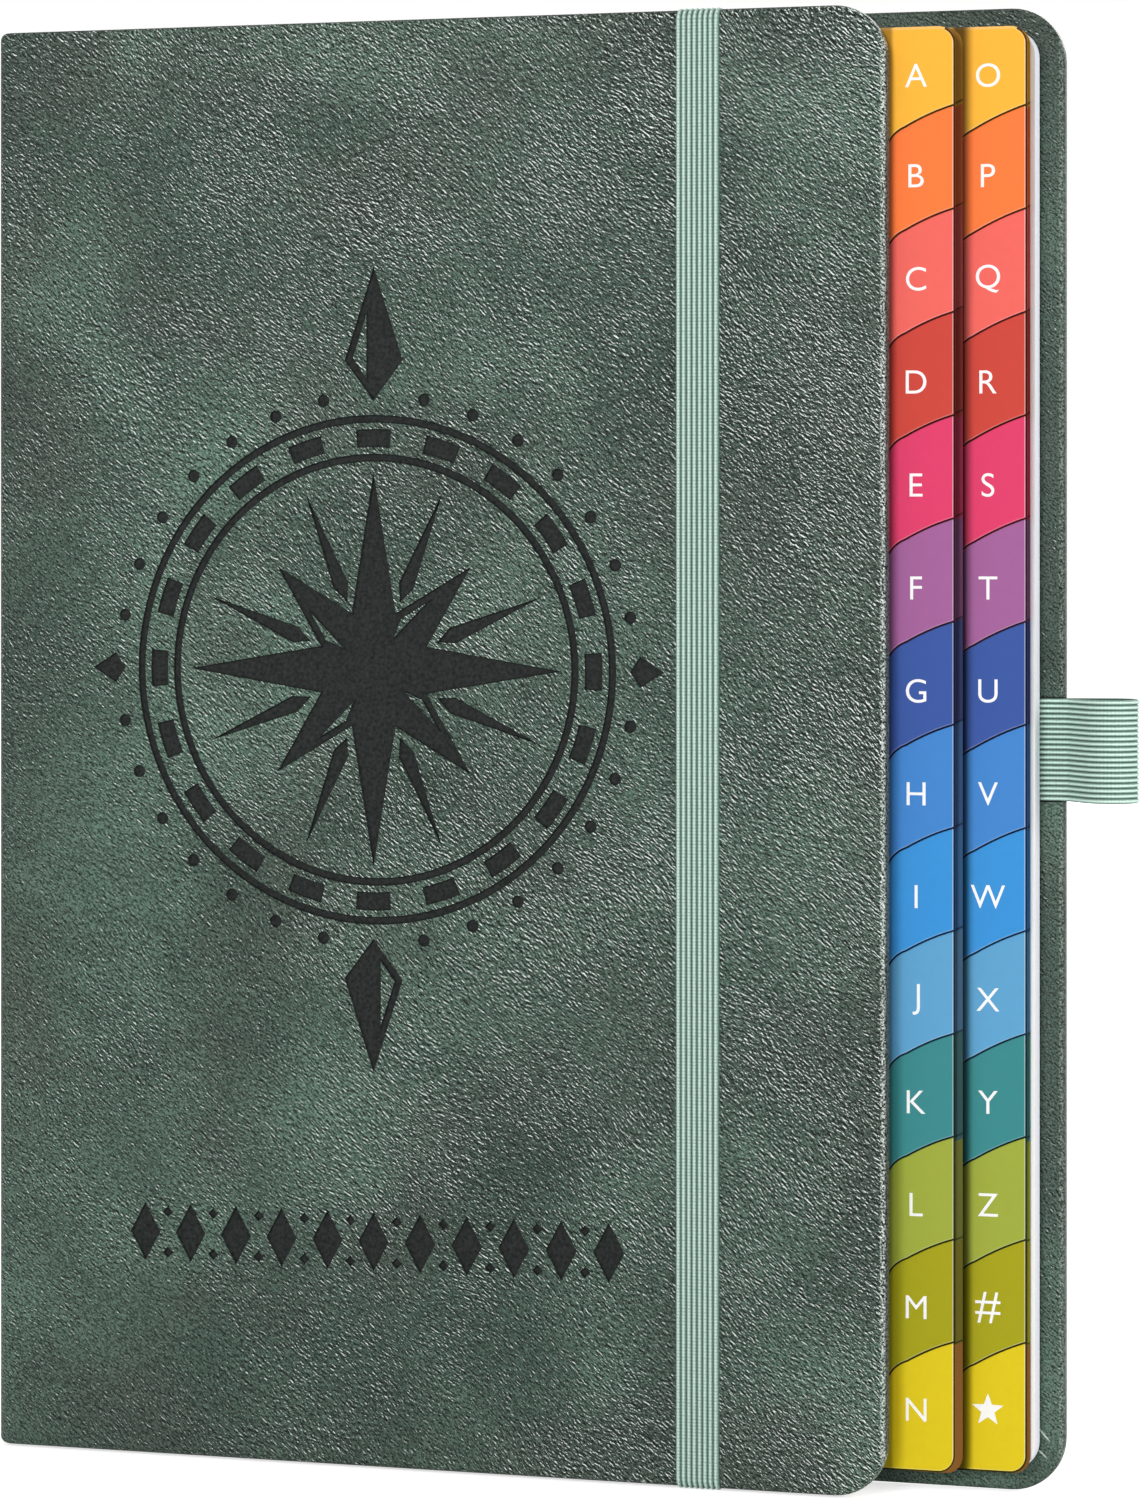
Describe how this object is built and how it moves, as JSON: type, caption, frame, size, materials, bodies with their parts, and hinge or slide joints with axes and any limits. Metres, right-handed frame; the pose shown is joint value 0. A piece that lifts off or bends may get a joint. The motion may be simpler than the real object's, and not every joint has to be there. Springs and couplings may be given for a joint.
{
  "type": "address book",
  "caption": "Case-bound address book with stepped columns of coloured index tabs, an elastic closing band and a pen loop, whose cover and leaves fan open at the spine.",
  "frame": {"origin": "middle of the underside of the whole book, standing upright on its tail edges", "axes": "+X from the spine to the fore-edge, +Y from the front cover to the back cover, +Z from tail to head"},
  "size_m": [0.1662, 0.0154, 0.205],
  "materials": {
    "leather": "grained, satin",
    "board": "matte",
    "paper": "matte",
    "glue": "matte",
    "lining": "woven",
    "headband": "woven",
    "elastic": "ribbed",
    "tab_amber": "satin",
    "tab_orange": "satin",
    "tab_coral": "satin",
    "tab_red": "satin",
    "tab_pink": "satin",
    "tab_purple": "satin",
    "tab_indigo": "satin",
    "tab_blue": "satin",
    "tab_azure": "satin",
    "tab_sky": "satin",
    "tab_teal": "satin",
    "tab_olive": "satin",
    "tab_moss": "satin",
    "tab_yellow": "satin"
  },
  "bodies": {
    "case": {"back_board": "board", "back_leather": "leather", "back_pastedown": "paper", "back_joint_leather": "leather", "front_joint_leather": "leather", "spine_board": "board", "spine_leather": "leather", "binding_glue": "glue", "spine_lining": "lining", "headband": "headband", "tailband": "headband", "back_flyleaf": "paper", "pen_loop": "elastic"},
    "front_cover": {"front_board": "board", "front_leather": "leather", "front_pastedown": "paper"},
    "front_flyleaf": {"front_flyleaf": "paper"},
    "tab_a": {"tab_a": "tab_amber"},
    "tab_b": {"tab_b": "tab_orange"},
    "tab_c": {"tab_c": "tab_coral"},
    "tab_d": {"tab_d": "tab_red"},
    "tab_e": {"tab_e": "tab_pink"},
    "tab_f": {"tab_f": "tab_purple"},
    "tab_g": {"tab_g": "tab_indigo"},
    "tab_h": {"tab_h": "tab_blue"},
    "tab_i": {"tab_i": "tab_azure"},
    "tab_j": {"tab_j": "tab_sky"},
    "tab_k": {"tab_k": "tab_teal"},
    "tab_l": {"tab_l": "tab_olive"},
    "tab_m": {"tab_m": "tab_moss"},
    "tab_n": {"tab_n": "tab_yellow"},
    "tab_o": {"tab_o": "tab_amber"},
    "tab_p": {"tab_p": "tab_orange"},
    "tab_q": {"tab_q": "tab_coral"},
    "tab_r": {"tab_r": "tab_red"},
    "tab_s": {"tab_s": "tab_pink"},
    "tab_t": {"tab_t": "tab_purple"},
    "tab_u": {"tab_u": "tab_indigo"},
    "tab_v": {"tab_v": "tab_blue"},
    "tab_w": {"tab_w": "tab_azure"},
    "tab_x": {"tab_x": "tab_sky"},
    "tab_y": {"tab_y": "tab_teal"},
    "tab_z": {"tab_z": "tab_olive"},
    "tab_number": {"tab_number": "tab_moss"},
    "tab_star": {"tab_star": "tab_yellow"},
    "notes_section_1": {"notes_section_1": "paper"},
    "notes_section_2": {"notes_section_2": "paper"},
    "notes_section_3": {"notes_section_3": "paper"},
    "elastic_band": {"elastic_band": "elastic"}
  },
  "joints": [
    {"name": "front_cover_hinge", "type": "hinge", "parent": "case", "child": "front_cover", "pos_m": [-0.08315, -0.00725, 0.1025], "axis": [0, 0, -1], "range_deg": [0, 180], "deforming": ["front_joint_leather"]},
    {"name": "front_flyleaf_turn", "type": "hinge", "parent": "case", "child": "front_flyleaf", "pos_m": [-0.08315, -0.00725, 0.1025], "axis": [0, 0, -1], "range_deg": [0, 173]},
    {"name": "tab_a_turn", "type": "hinge", "parent": "case", "child": "tab_a", "pos_m": [-0.08315, -0.00725, 0.1025], "axis": [0, 0, -1], "range_deg": [0, 167.6]},
    {"name": "tab_b_turn", "type": "hinge", "parent": "case", "child": "tab_b", "pos_m": [-0.08315, -0.00725, 0.1025], "axis": [0, 0, -1], "range_deg": [0, 162.2]},
    {"name": "tab_c_turn", "type": "hinge", "parent": "case", "child": "tab_c", "pos_m": [-0.08315, -0.00725, 0.1025], "axis": [0, 0, -1], "range_deg": [0, 156.8]},
    {"name": "tab_d_turn", "type": "hinge", "parent": "case", "child": "tab_d", "pos_m": [-0.08315, -0.00725, 0.1025], "axis": [0, 0, -1], "range_deg": [0, 151.4]},
    {"name": "tab_e_turn", "type": "hinge", "parent": "case", "child": "tab_e", "pos_m": [-0.08315, -0.00725, 0.1025], "axis": [0, 0, -1], "range_deg": [0, 146]},
    {"name": "tab_f_turn", "type": "hinge", "parent": "case", "child": "tab_f", "pos_m": [-0.08315, -0.00725, 0.1025], "axis": [0, 0, -1], "range_deg": [0, 140.6]},
    {"name": "tab_g_turn", "type": "hinge", "parent": "case", "child": "tab_g", "pos_m": [-0.08315, -0.00725, 0.1025], "axis": [0, 0, -1], "range_deg": [0, 135.2]},
    {"name": "tab_h_turn", "type": "hinge", "parent": "case", "child": "tab_h", "pos_m": [-0.08315, -0.00725, 0.1025], "axis": [0, 0, -1], "range_deg": [0, 129.8]},
    {"name": "tab_i_turn", "type": "hinge", "parent": "case", "child": "tab_i", "pos_m": [-0.08315, -0.00725, 0.1025], "axis": [0, 0, -1], "range_deg": [0, 124.4]},
    {"name": "tab_j_turn", "type": "hinge", "parent": "case", "child": "tab_j", "pos_m": [-0.08315, -0.00725, 0.1025], "axis": [0, 0, -1], "range_deg": [0, 119]},
    {"name": "tab_k_turn", "type": "hinge", "parent": "case", "child": "tab_k", "pos_m": [-0.08315, -0.00725, 0.1025], "axis": [0, 0, -1], "range_deg": [0, 113.6]},
    {"name": "tab_l_turn", "type": "hinge", "parent": "case", "child": "tab_l", "pos_m": [-0.08315, -0.00725, 0.1025], "axis": [0, 0, -1], "range_deg": [0, 108.2]},
    {"name": "tab_m_turn", "type": "hinge", "parent": "case", "child": "tab_m", "pos_m": [-0.08315, -0.00725, 0.1025], "axis": [0, 0, -1], "range_deg": [0, 102.8]},
    {"name": "tab_n_turn", "type": "hinge", "parent": "case", "child": "tab_n", "pos_m": [-0.08315, -0.00725, 0.1025], "axis": [0, 0, -1], "range_deg": [0, 97.4]},
    {"name": "tab_o_turn", "type": "hinge", "parent": "case", "child": "tab_o", "pos_m": [-0.08315, -0.00725, 0.1025], "axis": [0, 0, -1], "range_deg": [0, 92]},
    {"name": "tab_p_turn", "type": "hinge", "parent": "case", "child": "tab_p", "pos_m": [-0.08315, -0.00725, 0.1025], "axis": [0, 0, -1], "range_deg": [0, 86.6]},
    {"name": "tab_q_turn", "type": "hinge", "parent": "case", "child": "tab_q", "pos_m": [-0.08315, -0.00725, 0.1025], "axis": [0, 0, -1], "range_deg": [0, 81.2]},
    {"name": "tab_r_turn", "type": "hinge", "parent": "case", "child": "tab_r", "pos_m": [-0.08315, -0.00725, 0.1025], "axis": [0, 0, -1], "range_deg": [0, 75.8]},
    {"name": "tab_s_turn", "type": "hinge", "parent": "case", "child": "tab_s", "pos_m": [-0.08315, -0.00725, 0.1025], "axis": [0, 0, -1], "range_deg": [0, 70.4]},
    {"name": "tab_t_turn", "type": "hinge", "parent": "case", "child": "tab_t", "pos_m": [-0.08315, -0.00725, 0.1025], "axis": [0, 0, -1], "range_deg": [0, 65]},
    {"name": "tab_u_turn", "type": "hinge", "parent": "case", "child": "tab_u", "pos_m": [-0.08315, -0.00725, 0.1025], "axis": [0, 0, -1], "range_deg": [0, 59.6]},
    {"name": "tab_v_turn", "type": "hinge", "parent": "case", "child": "tab_v", "pos_m": [-0.08315, -0.00725, 0.1025], "axis": [0, 0, -1], "range_deg": [0, 54.2]},
    {"name": "tab_w_turn", "type": "hinge", "parent": "case", "child": "tab_w", "pos_m": [-0.08315, -0.00725, 0.1025], "axis": [0, 0, -1], "range_deg": [0, 48.8]},
    {"name": "tab_x_turn", "type": "hinge", "parent": "case", "child": "tab_x", "pos_m": [-0.08315, -0.00725, 0.1025], "axis": [0, 0, -1], "range_deg": [0, 43.4]},
    {"name": "tab_y_turn", "type": "hinge", "parent": "case", "child": "tab_y", "pos_m": [-0.08315, -0.00725, 0.1025], "axis": [0, 0, -1], "range_deg": [0, 38]},
    {"name": "tab_z_turn", "type": "hinge", "parent": "case", "child": "tab_z", "pos_m": [-0.08315, -0.00725, 0.1025], "axis": [0, 0, -1], "range_deg": [0, 32.6]},
    {"name": "tab_number_turn", "type": "hinge", "parent": "case", "child": "tab_number", "pos_m": [-0.08315, -0.00725, 0.1025], "axis": [0, 0, -1], "range_deg": [0, 27.2]},
    {"name": "tab_star_turn", "type": "hinge", "parent": "case", "child": "tab_star", "pos_m": [-0.08315, -0.00725, 0.1025], "axis": [0, 0, -1], "range_deg": [0, 21.8]},
    {"name": "notes_section_1_turn", "type": "hinge", "parent": "case", "child": "notes_section_1", "pos_m": [-0.08315, -0.00725, 0.1025], "axis": [0, 0, -1], "range_deg": [0, 16.4]},
    {"name": "notes_section_2_turn", "type": "hinge", "parent": "case", "child": "notes_section_2", "pos_m": [-0.08315, -0.00725, 0.1025], "axis": [0, 0, -1], "range_deg": [0, 11]},
    {"name": "notes_section_3_turn", "type": "hinge", "parent": "case", "child": "notes_section_3", "pos_m": [-0.08315, -0.00725, 0.1025], "axis": [0, 0, -1], "range_deg": [0, 5.6]},
    {"name": "band_swing", "type": "hinge", "parent": "case", "child": "elastic_band", "pos_m": [0.02335, 0.0052, 0.1025], "axis": [0, 0, 1], "range_deg": [0, 180.2], "deforming": ["elastic_band"]}
  ],
  "couplings": [
    {"joint": "front_flyleaf_turn", "follows": "front_cover_hinge", "ratio": 0.96},
    {"joint": "tab_a_turn", "follows": "front_cover_hinge", "ratio": 0.93},
    {"joint": "tab_b_turn", "follows": "front_cover_hinge", "ratio": 0.9},
    {"joint": "tab_c_turn", "follows": "front_cover_hinge", "ratio": 0.87},
    {"joint": "tab_d_turn", "follows": "front_cover_hinge", "ratio": 0.84},
    {"joint": "tab_e_turn", "follows": "front_cover_hinge", "ratio": 0.81},
    {"joint": "tab_f_turn", "follows": "front_cover_hinge", "ratio": 0.78},
    {"joint": "tab_g_turn", "follows": "front_cover_hinge", "ratio": 0.75},
    {"joint": "tab_h_turn", "follows": "front_cover_hinge", "ratio": 0.72},
    {"joint": "tab_i_turn", "follows": "front_cover_hinge", "ratio": 0.69},
    {"joint": "tab_j_turn", "follows": "front_cover_hinge", "ratio": 0.66},
    {"joint": "tab_k_turn", "follows": "front_cover_hinge", "ratio": 0.63},
    {"joint": "tab_l_turn", "follows": "front_cover_hinge", "ratio": 0.6},
    {"joint": "tab_m_turn", "follows": "front_cover_hinge", "ratio": 0.57},
    {"joint": "tab_n_turn", "follows": "front_cover_hinge", "ratio": 0.54},
    {"joint": "tab_o_turn", "follows": "front_cover_hinge", "ratio": 0.51},
    {"joint": "tab_p_turn", "follows": "front_cover_hinge", "ratio": 0.48},
    {"joint": "tab_q_turn", "follows": "front_cover_hinge", "ratio": 0.45},
    {"joint": "tab_r_turn", "follows": "front_cover_hinge", "ratio": 0.42},
    {"joint": "tab_s_turn", "follows": "front_cover_hinge", "ratio": 0.39},
    {"joint": "tab_t_turn", "follows": "front_cover_hinge", "ratio": 0.36},
    {"joint": "tab_u_turn", "follows": "front_cover_hinge", "ratio": 0.33},
    {"joint": "tab_v_turn", "follows": "front_cover_hinge", "ratio": 0.3},
    {"joint": "tab_w_turn", "follows": "front_cover_hinge", "ratio": 0.27},
    {"joint": "tab_x_turn", "follows": "front_cover_hinge", "ratio": 0.24},
    {"joint": "tab_y_turn", "follows": "front_cover_hinge", "ratio": 0.21},
    {"joint": "tab_z_turn", "follows": "front_cover_hinge", "ratio": 0.18},
    {"joint": "tab_number_turn", "follows": "front_cover_hinge", "ratio": 0.15},
    {"joint": "tab_star_turn", "follows": "front_cover_hinge", "ratio": 0.12},
    {"joint": "notes_section_1_turn", "follows": "front_cover_hinge", "ratio": 0.09},
    {"joint": "notes_section_2_turn", "follows": "front_cover_hinge", "ratio": 0.06},
    {"joint": "notes_section_3_turn", "follows": "front_cover_hinge", "ratio": 0.03},
    {"joint": "band_swing", "follows": "front_cover_hinge", "ratio": 1}
  ]
}
